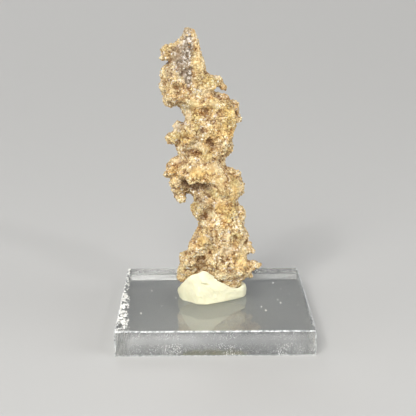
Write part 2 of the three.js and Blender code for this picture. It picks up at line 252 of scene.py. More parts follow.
bpy.ops.mesh.primitive_plane_add(size=FLOOR_WIDTH, location=(0, 0, -FLOOR_DROP))
floor = bpy.context.object
floor.name = "floor"
paper = bpy.data.materials.new("pale_floor")
paper.use_nodes = True
paper_shader = paper.node_tree.nodes["Principled BSDF"]
paper_shader.inputs["Base Color"].default_value = (0.62, 0.62, 0.61, 1)
paper_shader.inputs["Roughness"].default_value = 0.7
paper_shader.inputs["Specular IOR Level"].default_value = 0.3
floor.data.materials.append(paper)
floor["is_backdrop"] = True

# %% Hang the lamps
SPECIMEN_MIDDLE = Vector((-2, 0, 48)) * MM
WARM_WHITE, COOL_WHITE = (1.0, 0.97, 0.92), (0.98, 0.99, 1.0)
SOFT_LAMPS = (  # name, place in millimetres, strength, colour and width in degrees
    ("key_lamp", (-150, -560, 410), 2.5, WARM_WHITE, 36),
    ("side_lamp_right", (600, -190, 205), 1.6, COOL_WHITE, 50),
    ("side_lamp_left", (-600, -160, 205), 0.75, COOL_WHITE, 50),
    ("back_lamp", (-150, 520, 540), 0.5, COOL_WHITE, 30),
)
GLINT_LAMPS = (  # name, place in millimetres and watts
    ("glint_lamp_left", (-160, -300, 330), 0.3),
    ("glint_lamp_right", (190, -280, 300), 0.25),
)
GLINT_WIDTH = 30 * MM


def hang_lamp(kind, name, place_mm, power, colour=(1, 1, 1)):
    place = Vector(place_mm) * MM
    towards = (SPECIMEN_MIDDLE - place).to_track_quat("-Z", "Y")
    bpy.ops.object.light_add(type=kind, location=place, rotation=towards.to_euler())
    lamp = bpy.context.object
    lamp.name = name
    lamp.data.energy = power
    lamp.data.color = colour
    return lamp


for name, place, strength, colour, width in SOFT_LAMPS:
    hang_lamp("SUN", name, place, strength, colour).data.angle = math.radians(width)
for name, place, watts in GLINT_LAMPS:
    lamp = hang_lamp("AREA", name, place, watts)
    lamp.data.shape = "DISK"
    lamp.data.size = GLINT_WIDTH

# How bright the world is, and between which heights it fades. A height is the sine of the angle
# above the horizon.
WALL_GLOW, HORIZON_GLOW, ZENITH_GLOW = 0.45, 0.26, 0.10
WALL_FADE, SKY_FADE = (0.18, 0.03), (0.15, 0.6)

sky = bpy.data.worlds.new("studio")
bpy.context.scene.world = sky
sky.use_nodes = True
background = sky.node_tree.nodes["Background"]
background.inputs["Color"].default_value = (0.95, 0.96, 1.0, 1)
direction = add_node(
    sky.node_tree, "ShaderNodeSeparateXYZ",
    {0: add_node(sky.node_tree, "ShaderNodeTexCoord").outputs["Generated"]})
glow = remap(sky.node_tree, direction.outputs[2], *SKY_FADE, HORIZON_GLOW, ZENITH_GLOW)
wall = remap(sky.node_tree, direction.outputs[2], *WALL_FADE, 0.0, WALL_GLOW)
sky.node_tree.links.new(
    math_node(sky.node_tree, "ADD", glow, wall), background.inputs["Strength"])
bpy.context.scene.view_settings.view_transform = "Standard"

# %% [markdown]
# ## The fused crust
#
# Up close the crust is all round globules of melted sand: clusters about 2 mm across, and smaller
# ones on them. A Voronoi pattern gives exactly this. Each of its points owns a cell, and the
# distance to that point is 0 in the cell's middle and grows to the creases between cells. Turned
# into the height of a half round, it makes packed balls.
#
# The solid is remeshed into small even faces first, because displacement moves corners and can't
# show anything finer than they are. Its flat facets are smoothed away, and Geometry Nodes then
# push the surface in and out, and keep what the material will want to know: where each spot lay
# before it moved, where the glass is bare and where the crust has melted, and how deep it lies in a
# hollow.

# %% Remesh the solid
FACE_SIZE = 0.3 * MM

crust = copy_solid("fulgurite", "fulgurite_crust")
apply_modifier(crust, "REMESH", mode="VOXEL", voxel_size=FACE_SIZE)
apply_modifier(crust, "SMOOTH", factor=0.5, iterations=5)
print("The remeshed crust has", count_triangles(crust), "triangles")

# %% Nodes for round globules
ROUND_REACH = 0.85  # where a globule's round top ends, in cells
MEAN_CROWN = 0.62  # the average height of packed round tops
WARP = 0.6  # how far the cells stray from an even grid, in cells


def warped_point(tree, point, pitch_mm):
    noise = add_node(
        tree, "ShaderNodeTexNoise",
        {"Vector": point, "Scale": WARP / (pitch_mm * MM), "Detail": 1.0})
    stray = vector_node(tree, "SUBTRACT", noise.outputs["Color"], (0.5, 0.5, 0.5))
    return vector_node(tree, "ADD", point, scaled(tree, stray, WARP * pitch_mm * MM))


def globules(tree, point, pitch_mm):
    cells = add_node(
        tree, "ShaderNodeTexVoronoi",
        {"Vector": warped_point(tree, point, pitch_mm), "Scale": 1 / (pitch_mm * MM)})
    reach = math_node(tree, "DIVIDE", cells.outputs["Distance"], ROUND_REACH)
    fall = math_node(tree, "SUBTRACT", 1.0, math_node(tree, "POWER", reach, 2.0), clamp=True)
    colour = add_node(tree, "ShaderNodeSeparateXYZ", {0: cells.outputs["Color"]})
    return math_node(tree, "SQRT", fall), colour.outputs[0]


# %% Geometry nodes that grow the globules
CLUSTER_PITCH, CLUSTER_RELIEF = 2.2, 0.55  # millimetres
GLOBULE_PITCH, GLOBULE_RELIEF = 1.3, 0.3
BEAD_PITCH, BEAD_RELIEF = 0.8, 0.22
GRAIN_ROOM = 0.35  # the crust is sunk by this, so that the grains on it end at the solid's surface
GLASS_CALM = 0.35  # how much smoother the bare glass is
MELTED_CALM = 0.55  # and where the crust has melted into cushions
WRINKLED = (5.0, -6.0, 26.0, 9.0, 9.0, 15.0)  # where the crust ran down in upright wrinkles
WRINKLE_PITCH, WRINKLE_RELIEF = 1.1, 0.45


def new_geometry_tree(name):
    tree = bpy.data.node_groups.new(name, "GeometryNodeTree")
    tree.interface.new_socket("Geometry", in_out="INPUT", socket_type="NodeSocketGeometry")
    tree.interface.new_socket("Geometry", in_out="OUTPUT", socket_type="NodeSocketGeometry")
    return tree, tree.nodes.new("NodeGroupInput"), tree.nodes.new("NodeGroupOutput")


def keep_attribute(tree, geometry, name, value, data_type="FLOAT", domain="POINT"):
    node = add_node(
        tree, "GeometryNodeStoreNamedAttribute",
        {"Geometry": geometry, "Name": name, "Value": value}, data_type=data_type, domain=domain)
    return node.outputs["Geometry"]


def read_attribute(tree, name, data_type="FLOAT"):
    return add_node(
        tree, "GeometryNodeInputNamedAttribute", {"Name": name}, data_type=data_type).outputs[0]


def crust_relief_tree():
    tree, start, end = new_geometry_tree("crust relief")
    point = add_node(tree, "GeometryNodeInputPosition").outputs[0]
    outward = add_node(tree, "GeometryNodeInputNormal").outputs[0]
    point_mm = scaled(tree, point, 1 / MM)
    glass = patches_mask(tree, point_mm, BARE_GLASS)
    melted = patches_mask(tree, point_mm, MELTED_SMOOTH)
    upright = add_node(
        tree, "ShaderNodeTexNoise",
        {"Vector": vector_node(tree, "MULTIPLY", point, (1, 1, 0.3)),
         "Scale": 0.5 / (WRINKLE_PITCH * MM), "Detail": 1.0})
    ridge = math_node(tree, "ABSOLUTE", math_node(tree, "SUBTRACT", upright.outputs[0], 0.5))
    ridge = math_node(tree, "SUBTRACT", 0.5, remap(tree, ridge, 0.0, 0.16))
    height = math_node(
        tree, "MULTIPLY", math_node(tree, "MULTIPLY", ridge, WRINKLE_RELIEF),
        patch_mask(tree, point_mm, WRINKLED))
    for pitch, relief in (
            (CLUSTER_PITCH, CLUSTER_RELIEF), (GLOBULE_PITCH, GLOBULE_RELIEF),
            (BEAD_PITCH, BEAD_RELIEF)):
        crown = math_node(tree, "SUBTRACT", globules(tree, point, pitch)[0], MEAN_CROWN)
        layer = math_node(tree, "MULTIPLY", crown, relief)
        height = math_node(tree, "ADD", height, layer)
    calm = math_node(
        tree, "MAXIMUM", math_node(tree, "MULTIPLY", glass, GLASS_CALM),
        math_node(tree, "MULTIPLY", melted, MELTED_CALM))
    calm = math_node(tree, "SUBTRACT", 1.0, calm)
    shift = math_node(tree, "MULTIPLY", height, calm)
    shift = math_node(tree, "SUBTRACT", shift, math_node(tree, "MULTIPLY", GRAIN_ROOM, calm))
    geometry = keep_attribute(tree, start.outputs[0], "glass", glass)
    geometry = keep_attribute(tree, geometry, "melted", melted)
    geometry = keep_attribute(tree, geometry, "rest", point, "FLOAT_VECTOR")
    moved = add_node(
        tree, "GeometryNodeSetPosition",
        {"Geometry": geometry,
         "Offset": scaled(tree, outward, math_node(tree, "MULTIPLY", shift, MM))})
    tree.links.new(moved.outputs[0], end.inputs[0])
    return tree


# Each depth is how far a spot lies below the average of its surroundings: the name it is kept
# under, how many rounds of averaging it gets, and the depths in millimetres that give 0 and 1.
# The materials darken the sand by these depths, as painted shade.
DEPTHS = (("dent", 12, -0.12, 0.22), ("hollow", 90, -0.5, 0.9))


def hollow_tree():
    tree, start, end = new_geometry_tree("hollow depth")
    point = add_node(tree, "GeometryNodeInputPosition").outputs[0]
    outward = add_node(tree, "GeometryNodeInputNormal").outputs[0]
    geometry = start.outputs[0]
    for name, reach, least, most in DEPTHS:
        around = add_node(
            tree, "GeometryNodeBlurAttribute", {"Value": point, "Iterations": reach},
            data_type="FLOAT_VECTOR")
        out = add_node(
            tree, "GeometryNodeBlurAttribute", {"Value": outward, "Iterations": reach // 2},
            data_type="FLOAT_VECTOR")
        sunk = vector_node(
            tree, "DOT_PRODUCT", vector_node(tree, "SUBTRACT", around.outputs[0], point),
            out.outputs[0])
        depth = remap(tree, math_node(tree, "DIVIDE", sunk, MM), least, most)
        geometry = keep_attribute(tree, geometry, name, depth)
    tree.links.new(geometry, end.inputs[0])
    return tree


apply_modifier(crust, "NODES", node_group=crust_relief_tree())
apply_modifier(crust, "NODES", node_group=hollow_tree())
select_only(crust)
bpy.ops.object.shade_smooth()
print("The crust is", [round(c / MM, 1) for c in crust.dimensions], "mm")

# %% [markdown]
# ## The grains
#
# Single grains of sand still stick out of the melt all over. There are thousands, so one low ball
# of a few dozen faces is placed by Geometry Nodes at points spread evenly over the crust, each turn
# and size by chance, and the copies are then made one real mesh. Round half-melted beads make the
# first piece, and smaller sharp grains the next two. Each grain keeps a chance number as its tone.

# %% Geometry nodes that scatter grains
FOOT_COVERED = 11.0  # below this height the crust is inside the putty
GRAIN_SUNK = 0.3  # how deep a grain's middle lies in the crust, in grain radii
GLASS_BARE, MELTED_BARE = 0.75, 0.75  # the share of the grains that is missing there
GRAIN_CROWDING = 9.0  # the most grains on a square millimetre, before their spacing thins them


def scatter_tree(name, ball, smooth):
    tree, start, end = new_geometry_tree(name)
    for label, kind in (
            ("Spacing", "Float"), ("Smallest", "Float"), ("Largest", "Float"),
            ("Palest", "Float"), ("Seed", "Int")):
        tree.interface.new_socket(label, in_out="INPUT", socket_type="NodeSocket" + kind)
    seed = start.outputs["Seed"]
    point = add_node(tree, "GeometryNodeInputPosition").outputs[0]
    height = add_node(tree, "ShaderNodeSeparateXYZ", {0: scaled(tree, point, 1 / MM)}).outputs[2]
    bare = math_node(
        tree, "MAXIMUM", math_node(tree, "MULTIPLY", read_attribute(tree, "glass"), GLASS_BARE),
        math_node(tree, "MULTIPLY", read_attribute(tree, "melted"), MELTED_BARE))
    sandy = math_node(
        tree, "MULTIPLY", remap(tree, height, FOOT_COVERED, FOOT_COVERED + 0.5),
        math_node(tree, "SUBTRACT", 1.0, bare))
    spots = add_node(
        tree, "GeometryNodeDistributePointsOnFaces",
        {"Mesh": start.outputs["Geometry"], "Distance Min": start.outputs["Spacing"],
         "Density Max": GRAIN_CROWDING / MM ** 2, "Density Factor": sandy, "Seed": seed},
        distribute_method="POISSON")
    outward = spots.outputs["Normal"]

    def chance(data_type, low, high, step):
        keys = (0, 1) if data_type == "FLOAT_VECTOR" else (2, 3)
        node = add_node(
            tree, "FunctionNodeRandomValue",
            {keys[0]: low, keys[1]: high, "Seed": math_node(tree, "ADD", seed, step)},
            data_type=data_type)
        return node.outputs[0 if data_type == "FLOAT_VECTOR" else 1]

    size = chance("FLOAT", start.outputs["Smallest"], start.outputs["Largest"], 0)
    squash = chance("FLOAT_VECTOR", (0.8, 0.8, 0.8), (1.15, 1.15, 1.15), 7)
    turn = chance("FLOAT_VECTOR", (0, 0, 0), (math.tau, math.tau, math.tau), 11)
    tone = chance("FLOAT", 0.0, start.outputs["Palest"], 13)
    sunk = add_node(
        tree, "GeometryNodeSetPosition",
        {"Geometry": spots.outputs["Points"],
         "Offset": scaled(tree, outward, math_node(tree, "MULTIPLY", size, -GRAIN_SUNK))})
    shape = ball(tree)
    if smooth:
        shape = add_node(tree, "GeometryNodeSetShadeSmooth", {"Geometry": shape}).outputs[0]
    grains = add_node(
        tree, "GeometryNodeInstanceOnPoints",
        {"Points": sunk.outputs[0], "Instance": shape, "Rotation": turn,
         "Scale": scaled(tree, squash, size)}).outputs[0]
    grains = keep_attribute(tree, grains, "tone", tone, domain="INSTANCE")
    grains = keep_attribute(tree, grains, "size", size, domain="INSTANCE")
    grains = keep_attribute(tree, grains, "outward", outward, "FLOAT_VECTOR", "INSTANCE")
    grains = keep_attribute(tree, grains, "centre", point, "FLOAT_VECTOR", "INSTANCE")
    grains = add_node(tree, "GeometryNodeRealizeInstances", {"Geometry": grains}).outputs[0]
    from_centre = vector_node(
        tree, "SUBTRACT", point, read_attribute(tree, "centre", "FLOAT_VECTOR"))
    rise = vector_node(
        tree, "DOT_PRODUCT", from_centre, read_attribute(tree, "outward", "FLOAT_VECTOR"))
    rise = math_node(tree, "DIVIDE", rise, read_attribute(tree, "size"))
    grains = keep_attribute(tree, grains, "crown", remap(tree, rise, 0.05, 0.8))
    for name in ("size", "outward", "centre"):
        grains = add_node(
            tree, "GeometryNodeRemoveAttribute", {"Geometry": grains, "Name": name}).outputs[0]
    tree.links.new(grains, end.inputs[0])
    return tree


def low_bead(tree):
    return add_node(
        tree, "GeometryNodeMeshUVSphere", {"Segments": 6, "Rings": 4, "Radius": 1.0}).outputs[0]


def low_grain(tree):
    return add_node(
        tree, "GeometryNodeMeshIcoSphere", {"Radius": 1.0, "Subdivisions": 1}).outputs[0]


# %% Scatter the beads and the grains
def scatter(name, tree, spacing, smallest, largest, palest, seed):
    piece = copy_mesh(crust, name)
    modifier = piece.modifiers.new("scatter", "NODES")
    modifier.node_group = tree
    values = {
        "Spacing": spacing * MM, "Smallest": smallest * MM, "Largest": largest * MM,
        "Palest": palest, "Seed": seed}
    for item in tree.interface.items_tree:
        if item.name in values:
            modifier[item.identifier] = values[item.name]
    bpy.ops.object.modifier_apply(modifier=modifier.name)
    print(name, "has", count_triangles(piece), "triangles")
    return piece


# Name, nodes, spacing, smallest and largest radius in millimetres, palest tone, and chance seed.
beads = scatter(
    "melted_beads", scatter_tree("scatter beads", low_bead, True), 0.84, 0.30, 0.48, 0.8, 3)
sharp_tree = scatter_tree("scatter sharp grains", low_grain, False)
coarse_grains = scatter("coarse_grains", sharp_tree, 1.0, 0.18, 0.32, 0.92, 5)
fine_grains = scatter("fine_grains", sharp_tree, 0.8, 0.10, 0.20, 1.0, 9)

# %% [markdown]
# ## The colour of the crust
#
# The sand is golden tan, with cream and milky grains, ochre where iron has stained it, and mauve
# grey in places. In the creases, in the hollows and round the foot of each grain the colour is
# darkened towards brown, and that is painted shade. One node group makes this colour for the crust
# and the grains alike: it takes a grain's tone and how deep it lies, and gives back a colour and a
# roughness. Listed patches tint the front, and a ragged noise moves their rims about. The pale
# ones are partly paler sand and partly painted light, where the crust comes out darker under the
# lamps than the real surface. The shaded ones are painted shade. The brown ones are partly brown
# sand and partly painted shadow, and the dark nook is painted shadow, in hollows that the mesh
# makes too shallow.

# %% Where the patches lie
OCHRE_PATCHES = [
    (-3.3, -6.0, 70.4, 5.0, 4.0, 2.8),
    (1.0, -6.0, 62.8, 4.6, 4.0, 3.6),
    (3.6, -6.0, 34.4, 3.2, 4.0, 2.8),
    (8.0, -5.0, 22.4, 4.2, 4.0, 4.4),
    (0.8, -6.0, 75.4, 3.2, 4.0, 2.8),
    (4.4, -5.0, 66.0, 5.0, 4.0, 9.0),
    (6.0, -4.0, 59.6, 3.2, 4.0, 5.0),
    (-1.4, -6.0, 60.8, 2.8, 4.0, 4.6),
    (-8.9, -6.0, 61.6, 3.2, 4.0, 3.4),
    (-12.6, -5.0, 49.6, 4.0, 4.0, 4.6),
    (-4.0, -7.0, 50.4, 5.6, 4.0, 3.2),
    (6.6, -6.0, 42.6, 3.6, 4.0, 5.0),
    (2.4, -6.0, 39.4, 3.2, 4.0, 4.0),
    (-3.8, -6.0, 28.8, 2.8, 4.0, 4.0),
    (10.6, -5.0, 20.6, 4.0, 5.0, 5.0),
]
# Pale patches are partly paler sand and partly painted light, where the crust's relief shades it
# darker than the real surface.
PALE_AND_LIT_PATCHES = [
    (8.8, -4.0, 23.6, 3.6, 6.0, 6.6),
    (4.0, -7.0, 17.2, 7.4, 4.0, 2.2),
    (-1.2, -5.8, 37.0, 1.9, 4.0, 2.4),
    (-5.6, -6.4, 59.2, 2.6, 4.0, 2.4),
    (6.3, -5.0, 69.2, 2.4, 4.0, 2.6),
    (6.2, -4.0, 44.4, 3.6, 4.0, 5.6),
    (-2.7, -6.0, 71.4, 2.2, 4.0, 1.6),
    (-11.7, -2.3, 63.3, 2.2, 4.0, 3.4),
    (-3.1, -6.5, 58.2, 2.6, 4.0, 1.8),
    (1.4, -5.8, 59.3, 2.0, 4.0, 2.0),
    (-11.6, -3.5, 47.4, 2.2, 4.0, 2.6),
    (-0.9, -5.2, 44.9, 2.4, 4.0, 2.2),
    (2.4, -6.8, 42.1, 2.0, 4.0, 3.6),
    (-3.0, -5.3, 24.9, 2.2, 4.0, 2.2),
    (-12.0, -5.0, 54.4, 4.0, 4.0, 3.0),
    (-8.2, -5.0, 68.8, 2.4, 4.0, 4.0),
    (2.6, -6.0, 52.4, 4.6, 4.0, 3.0),
    (3.7, -5.8, 25.6, 3.0, 4.0, 3.6),
    (-2.2, -5.8, 75.4, 2.4, 4.0, 1.6),
    (-0.9, -6.2, 62.2, 2.6, 4.0, 1.4),
    (4.2, -6.4, 30.4, 2.2, 4.0, 1.9),
]
GREY_PATCHES = [
    (-10.4, -3.6, 85.0, 4.4, 4.0, 7.0),
    (-10.2, -3.0, 64.8, 2.8, 4.0, 2.4),
    (-8.6, -2.0, 94.0, 3.0, 5.0, 3.0),
    (-13.6, -5.0, 81.8, 3.2, 4.0, 3.0),
    (-4.4, -4.4, 45.4, 6.0, 4.6, 2.6),
    (-3.6, -5.4, 42.6, 3.2, 4.0, 3.0),
]
# Shaded patches are painted shade, where hollows hold more shadow than the mesh makes.
SHADED_PATCHES = [
    (-8.6, -3.0, 81.6, 2.8, 4.0, 3.0),
    (-8.4, -5.5, 71.4, 4.4, 4.0, 2.4),
    (-0.3, -6.3, 71.6, 2.6, 4.0, 1.8),
    (-5.4, -6.8, 75.6, 2.0, 4.0, 2.2),
    (4.9, -4.2, 71.5, 2.4, 4.0, 2.0),
    (5.1, -6.8, 66.4, 2.2, 4.0, 2.0),
    (-4.3, -7.0, 62.8, 2.2, 4.0, 1.9),
    (-4.4, -6.6, 40.8, 2.6, 4.0, 3.2),
    (-1.4, -6.6, 27.8, 2.4, 4.0, 4.0),
    (-7.6, -4.8, 19.4, 3.4, 4.0, 2.6),
    (-3.7, -5.6, 35.8, 1.9, 4.0, 1.9),
    (-6.7, -2.8, 87.0, 1.9, 4.0, 2.0),
    (-9.0, -6.0, 62.2, 2.2, 4.0, 2.2),
    (-7.8, -5.8, 58.4, 2.2, 4.0, 1.8),
    (3.7, -7.0, 43.4, 2.0, 4.0, 2.0),
]
OLIVE_PATCHES = [
    (-3.6, -6.0, 79.0, 3.6, 4.0, 3.0),
    (6.2, -5.0, 47.6, 4.0, 4.0, 5.0),
    (5.8, -5.0, 39.8, 3.6, 4.0, 3.4),
    (6.8, -5.0, 29.2, 2.8, 4.0, 3.2),
    (-0.8, -5.0, 79.2, 4.4, 4.0, 3.0),
    (4.0, -5.0, 66.8, 3.6, 4.0, 7.2),
    (-5.5, -6.0, 67.0, 2.0, 4.0, 5.6),
    (-14.3, -4.0, 88.0, 2.8, 4.0, 2.8),
    (-12.0, -5.0, 61.6, 4.0, 4.0, 2.8),
    (-2.5, -6.0, 56.2, 3.6, 4.0, 2.6),
    (0.6, -6.0, 44.2, 6.0, 4.0, 2.4),
    (-6.2, -5.0, 40.5, 2.4, 4.0, 3.0),
    (4.6, -6.0, 37.5, 3.0, 4.0, 2.8),
]
BEADY_TROUGH = [
    (-9.8, -3.2, 86.2, 3.6, 4.6, 6.4),
    (-9.6, -3.6, 81.6, 3.0, 4.6, 4.0),
]
# Brown patches are partly brown sand and partly painted shadow, in pits that the mesh makes too
# shallow.
BROWN_AND_SHADOW_PATCHES = [
    (-11.0, -5.0, 87.2, 1.4, 4.0, 3.2),
    (-2.4, -6.0, 69.9, 1.3, 4.0, 1.3),
    (-1.3, -5.6, 59.9, 1.9, 4.0, 2.2),
    (-8.2, -5.2, 56.9, 2.3, 4.0, 2.3),
    (-4.4, -5.0, 20.6, 2.0, 5.0, 4.6),
    (-3.2, -4.4, 46.4, 2.0, 3.4, 2.2),
]
# The nook is painted shadow in a deep hollow.
NOOKS = [
    (-9.1, -3.8, 46.9, 2.5, 4.0, 3.0),
]

# %% Node group for the sand's colour
SAND_STOPS = [
    (0.0, (0.42, 0.29, 0.13, 1)),
    (0.2, (0.74, 0.57, 0.29, 1)),
    (0.5, (0.92, 0.75, 0.40, 1)),
    (0.75, (1.0, 0.89, 0.58, 1)),
    (0.92, (1.0, 0.98, 0.88, 1)),
]
# The bare glass: dark and grey streaks, and white flecks that are partly white grains and partly
# painted glints.
GLASS_AND_GLINT_STOPS = [
    (0.38, (0.13, 0.10, 0.07, 1)),
    (0.48, (0.31, 0.25, 0.18, 1)),
    (0.57, (0.52, 0.45, 0.37, 1)),
    (0.66, (0.94, 0.91, 0.86, 1)),
]
MAUVE_TINT, MOTTLE_TINT = (0.72, 0.60, 0.50, 1), (0.84, 0.72, 0.60, 1)
# Pale sand with painted light, brown sand with painted shadow, and the painted shadow of the nook.
PALE_SAND_AND_LIGHT, BROWN_SAND_AND_SHADOW, NOOK_SHADOW = (
    (1.0, 0.90, 0.62, 1), (0.30, 0.18, 0.07, 1), (0.17, 0.09, 0.03, 1))
# Painted shade: what the colour is multiplied by where a spot lies deep in a crease or hollow.
HOLLOW_SHADE_TINT = (0.27, 0.16, 0.08, 1)
PATCH_TINTS = (  # the patches, how strong they are at most, and what they multiply the colour by
    (OCHRE_PATCHES, 0.65, (1.0, 0.84, 0.50, 1)),
    (OLIVE_PATCHES, 0.8, (0.76, 0.73, 0.52, 1)),
    (GREY_PATCHES, 0.9, (0.76, 0.77, 0.88, 1)),
    # The shaded patches multiply in painted shade.
    (SHADED_PATCHES, 0.9, (0.66, 0.64, 0.60, 1)),
)
RIM_STRAY = 3.0  # how far the rims of patches stray, in millimetres
PALE_LIFT = 0.55  # the share of the painted shade in its hollows that a pale patch loses


def mix_colour(tree, factor, first, second, blend="MIX"):
    node = add_node(
        tree, "ShaderNodeMix", {"Factor": factor}, data_type="RGBA", blend_type=blend)
    for key, value in ((6, first), (7, second)):
        if isinstance(value, bpy.types.NodeSocket):
            tree.links.new(value, node.inputs[key])
        else:
            node.inputs[key].default_value = value
    return node.outputs[2]


def colour_ramp(tree, value, stops):
    node = add_node(tree, "ShaderNodeValToRGB", {"Fac": value})
    ramp = node.color_ramp
    while len(ramp.elements) < len(stops):
        ramp.elements.new(0.5)
    for element, (place, colour) in zip(ramp.elements, stops):
        element.position = place
        element.color = colour
    return node.outputs["Color"]


def sand_light_and_shade_group():
    tree = bpy.data.node_groups.new("sand colour with painted light and shade", "ShaderNodeTree")
    for label in ("Tone", "Depth"):
        tree.interface.new_socket(label, in_out="INPUT", socket_type="NodeSocketFloat")
    tree.interface.new_socket("Color", in_out="OUTPUT", socket_type="NodeSocketColor")
    tree.interface.new_socket("Roughness", in_out="OUTPUT", socket_type="NodeSocketFloat")
    start, end = tree.nodes.new("NodeGroupInput"), tree.nodes.new("NodeGroupOutput")
    point = add_node(tree, "ShaderNodeTexCoord").outputs["Object"]
    ragged = add_node(
        tree, "ShaderNodeTexNoise", {"Vector": point, "Scale": 0.45 / MM, "Detail": 2.0})
    stray = vector_node(tree, "SUBTRACT", ragged.outputs["Color"], (0.5, 0.5, 0.5))
    point_mm = vector_node(tree, "ADD", scaled(tree, point, 1 / MM), scaled(tree, stray, RIM_STRAY))
    sand = colour_ramp(tree, start.outputs["Tone"], SAND_STOPS)

    def strength(patches, most):
        return math_node(tree, "MULTIPLY", patches_mask(tree, point_mm, patches), most)

    def noise(per_mm, detail=2.0):
        return add_node(
            tree, "ShaderNodeTexNoise",
            {"Vector": point, "Scale": per_mm / MM, "Detail": detail}).outputs[0]

    mauve = math_node(tree, "MULTIPLY", remap(tree, noise(0.12), 0.45, 0.68), 0.45)
    mottle = remap(tree, noise(0.4), 0.55, 0.32)
    pale = patches_mask(tree, point_mm, PALE_AND_LIT_PATCHES)
    colour = mix_colour(tree, mauve, sand, MAUVE_TINT, "MULTIPLY")
    colour = mix_colour(tree, mottle, colour, MOTTLE_TINT, "MULTIPLY")
    # Pale patches: paler sand, and partly painted light.
    colour = mix_colour(tree, math_node(tree, "MULTIPLY", pale, 0.35), colour, PALE_SAND_AND_LIGHT)
    for patches, most, tint in PATCH_TINTS:
        colour = mix_colour(tree, strength(patches, most), colour, tint, "MULTIPLY")
    # The beady trough takes the glass colours, with white flecks that are partly painted glints.
    colour = mix_colour(
        tree, strength(BEADY_TROUGH, 0.75), colour,
        colour_ramp(tree, noise(0.95, 3.0), GLASS_AND_GLINT_STOPS))
    # Brown patches add brown sand and painted shadow, and the nook adds painted shadow.
    colour = mix_colour(tree, strength(BROWN_AND_SHADOW_PATCHES, 0.6), colour, BROWN_SAND_AND_SHADOW)
    colour = mix_colour(tree, strength(NOOKS, 0.85), colour, NOOK_SHADOW)
    # Painted shade: the colour darkens with depth, less so in the pale patches.
    lifted = math_node(tree, "SUBTRACT", 1.0, math_node(tree, "MULTIPLY", pale, PALE_LIFT))
    depth = math_node(tree, "MULTIPLY", start.outputs["Depth"], lifted)
    colour = mix_colour(tree, depth, colour, HOLLOW_SHADE_TINT, "MULTIPLY")
    tree.links.new(colour, end.inputs["Color"])
    tree.links.new(
        remap(tree, start.outputs["Tone"], 0.6, 1.0, 0.55, 0.3), end.inputs["Roughness"])
    return tree


sand_light_and_shade = sand_light_and_shade_group()

# %% Materials for the crust and the grains
def new_material(name):
    material = bpy.data.materials.new(name)
    material.use_nodes = True
    return material, material.node_tree, material.node_tree.nodes["Principled BSDF"]


def attribute(tree, name, output="Fac"):
    return add_node(tree, "ShaderNodeAttribute", attribute_name=name).outputs[output]


def weighted_sum(tree, *pairs):
    total = 0.0
    for value, weight in pairs:
        total = math_node(tree, "MULTIPLY_ADD", value, weight, total)
    return math_node(tree, "ADD", total, 0.0, clamp=True)


def place_sand(tree, tone, depth):
    sand = add_node(tree, "ShaderNodeGroup", node_tree=sand_light_and_shade)
    tree.links.new(tone, sand.inputs["Tone"])
    tree.links.new(depth, sand.inputs["Depth"])
    return sand.outputs["Color"], sand.outputs["Roughness"]


def set_translucent(shader):
    shader.inputs["Subsurface Weight"].default_value = 0.12
    shader.inputs["Subsurface Radius"].default_value = (1.0, 0.6, 0.35)
    shader.inputs["Subsurface Scale"].default_value = 0.35 * MM


MELTED_TINT = (0.84, 0.80, 0.72, 1)
GLASS_ROUGHNESS = 0.22
DENT_SHADE_WEIGHT, HOLLOW_SHADE_WEIGHT = 0.35, 0.45  # how much painted shade the two depths put on the sand

crust_material, tree, shader = new_material("fused_crust")
rest = attribute(tree, "rest", "Vector")
melted = attribute(tree, "melted")
globule, _ = globules(tree, rest, GLOBULE_PITCH)
bead, bead_tone = globules(tree, rest, BEAD_PITCH)
crispness = math_node(tree, "SUBTRACT", 1.0, math_node(tree, "MULTIPLY", melted, 0.5))
bead_tone = math_node(
    tree, "MULTIPLY_ADD", math_node(tree, "SUBTRACT", bead_tone, 0.5), crispness, 0.5)
# Painted shade in the creases between beads and globules, and in dents and hollows.
depth = weighted_sum(
    tree, (math_node(tree, "SUBTRACT", 1.0, bead), 0.75),
    (math_node(tree, "SUBTRACT", 1.0, globule), 0.25),
    (attribute(tree, "dent"), DENT_SHADE_WEIGHT), (attribute(tree, "hollow"), HOLLOW_SHADE_WEIGHT))
colour, roughness = place_sand(tree, bead_tone, math_node(tree, "MULTIPLY", depth, crispness))
set_translucent(shader)
glassy = attribute(tree, "glass")
streaks = add_node(tree, "ShaderNodeTexNoise", {"Vector": rest, "Scale": 1.3 / MM, "Detail": 3.0})
# Bare glass colour, with white flecks that are partly painted glints.
glass_and_glint_colour = colour_ramp(tree, streaks.outputs[0], GLASS_AND_GLINT_STOPS)
colour = mix_colour(tree, melted, colour, MELTED_TINT, "MULTIPLY")
tree.links.new(mix_colour(tree, glassy, colour, glass_and_glint_colour), shader.inputs["Base Color"])
tree.links.new(
    add_node(
        tree, "ShaderNodeMix", {0: glassy, 2: roughness, 3: GLASS_ROUGHNESS},
        data_type="FLOAT").outputs[0],
    shader.inputs["Roughness"])
sandy = math_node(tree, "SUBTRACT", 1.0, math_node(tree, "MULTIPLY", glassy, GLASS_CALM))
sandy = math_node(tree, "MULTIPLY", sandy, crispness)
grit = add_node(
    tree, "ShaderNodeBump",
    {"Height": math_node(tree, "MULTIPLY", bead, sandy), "Strength": 0.8,
     "Distance": BEAD_RELIEF * MM})
tree.links.new(grit.outputs[0], shader.inputs["Normal"])

grain_material, tree, shader = new_material("sand_grains")
# Painted shade round the foot of each grain, where it meets the crust, and in dents and hollows.
depth = weighted_sum(
    tree, (math_node(tree, "SUBTRACT", 1.0, attribute(tree, "crown")), 0.95),
    (attribute(tree, "dent"), DENT_SHADE_WEIGHT), (attribute(tree, "hollow"), HOLLOW_SHADE_WEIGHT))
colour, roughness = place_sand(tree, attribute(tree, "tone"), depth)
set_translucent(shader)
tree.links.new(colour, shader.inputs["Base Color"])
tree.links.new(roughness, shader.inputs["Roughness"])

